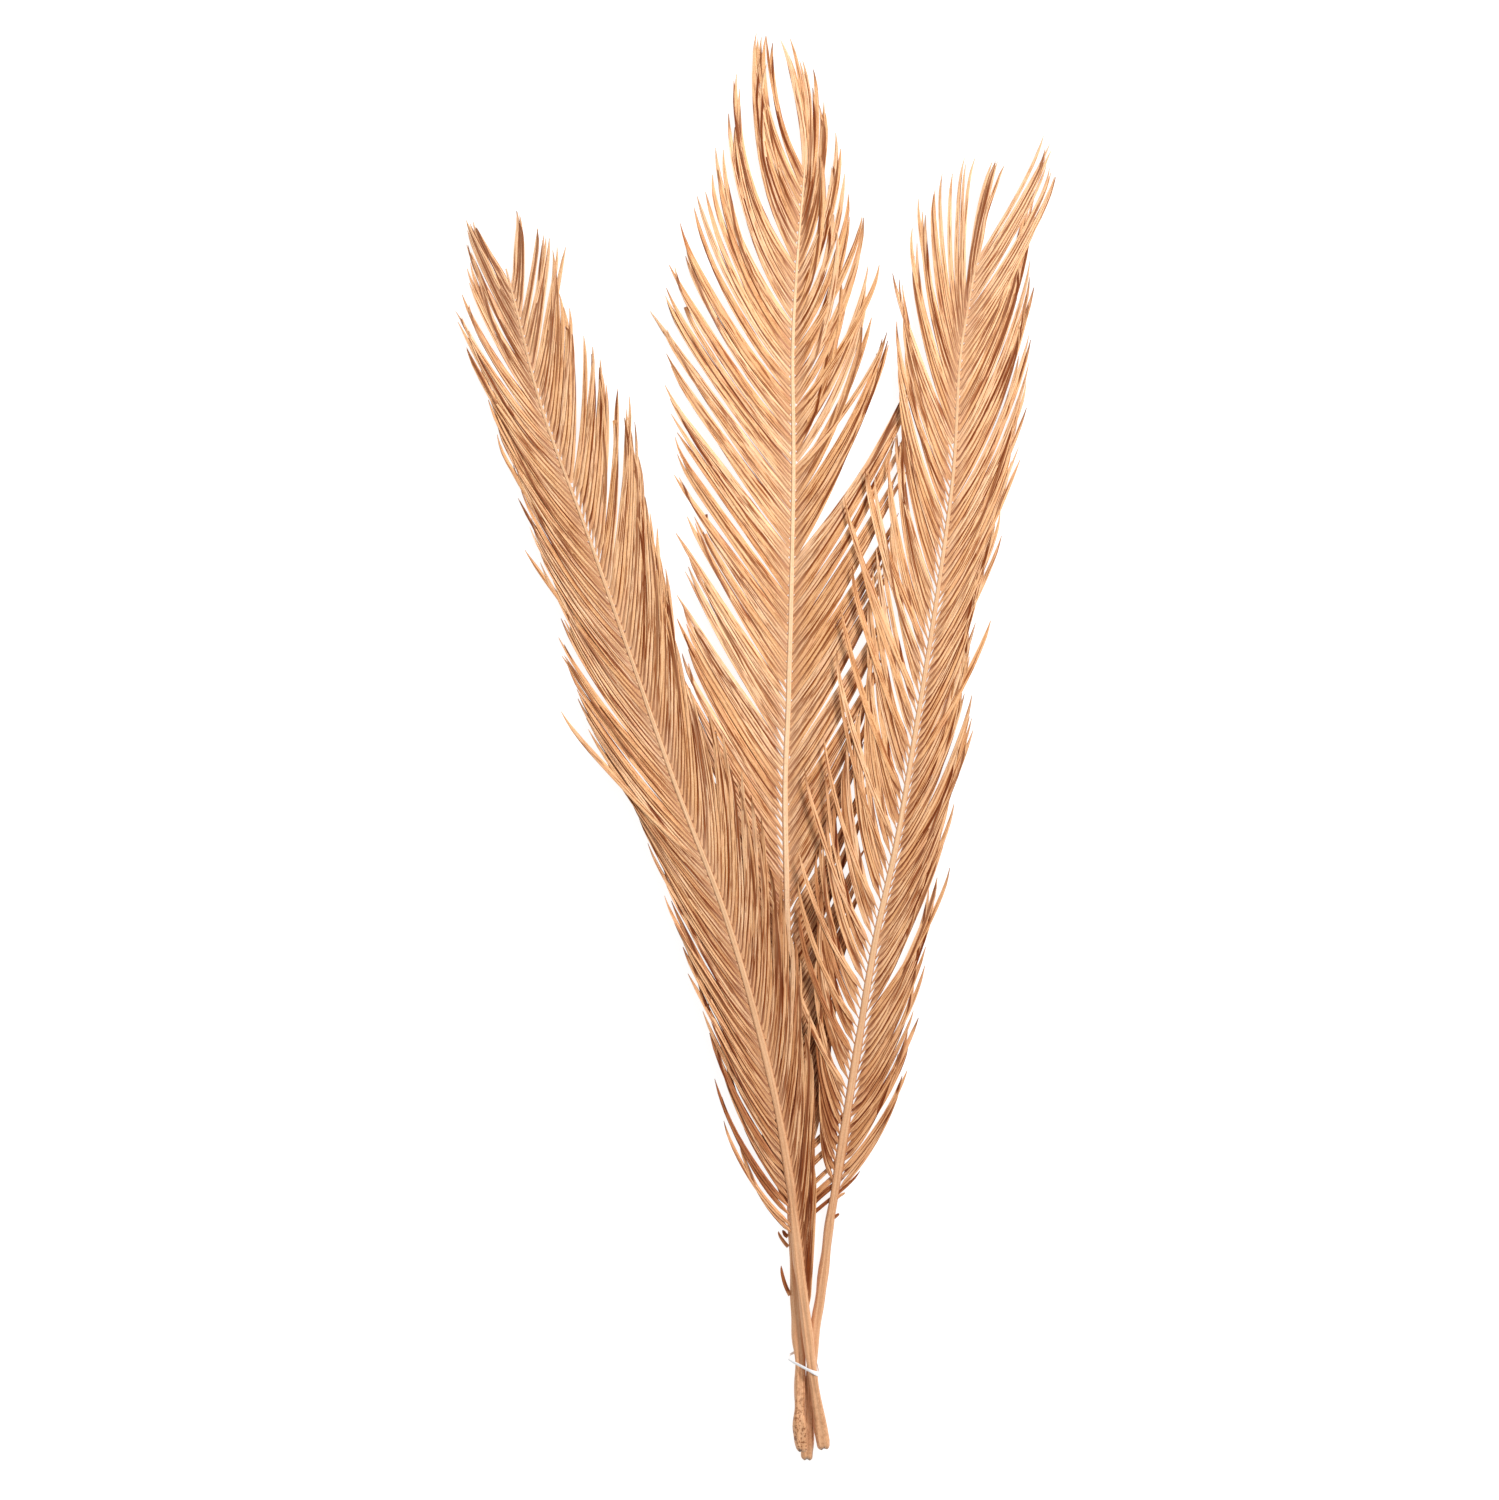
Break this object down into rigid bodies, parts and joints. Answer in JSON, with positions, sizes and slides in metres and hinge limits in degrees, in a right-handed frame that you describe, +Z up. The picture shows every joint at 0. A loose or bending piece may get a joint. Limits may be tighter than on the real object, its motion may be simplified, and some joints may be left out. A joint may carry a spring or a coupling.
{
  "type": "tied bunch of dried feather-shaped palm fronds",
  "caption": "Dried, copper-painted palm fronds with long narrow leaflets, fanned out and tied near their cut ends with a white band; lies flat as floral decoration.",
  "frame": {"origin": "middle of the bunch's footprint, on the surface it lies on", "axes": "+Y along the fronds from their cut ends to their tips, +X across the fan, +Z up from the surface, towards the viewer"},
  "size_m": [0.4138, 0.987, 0.02],
  "materials": {
    "leaflet_copper": "satin copper-peach paint on dry leaf, finely grooved along each leaflet",
    "stem_copper": "satin pale copper-peach paint on a dry woody midrib and stalk",
    "tie_white": "matte white flat band"
  },
  "bodies": {
    "root": {"left_frond_stem": "stem_copper", "left_frond_leaflets_left": "leaflet_copper", "left_frond_leaflets_right": "leaflet_copper", "middle_frond_stem": "stem_copper", "middle_frond_leaflets_left": "leaflet_copper", "middle_frond_leaflets_right": "leaflet_copper", "right_frond_stem": "stem_copper", "right_frond_leaflets_left": "leaflet_copper", "right_frond_leaflets_right": "leaflet_copper", "tie_band": "tie_white"}
  },
  "joints": []
}
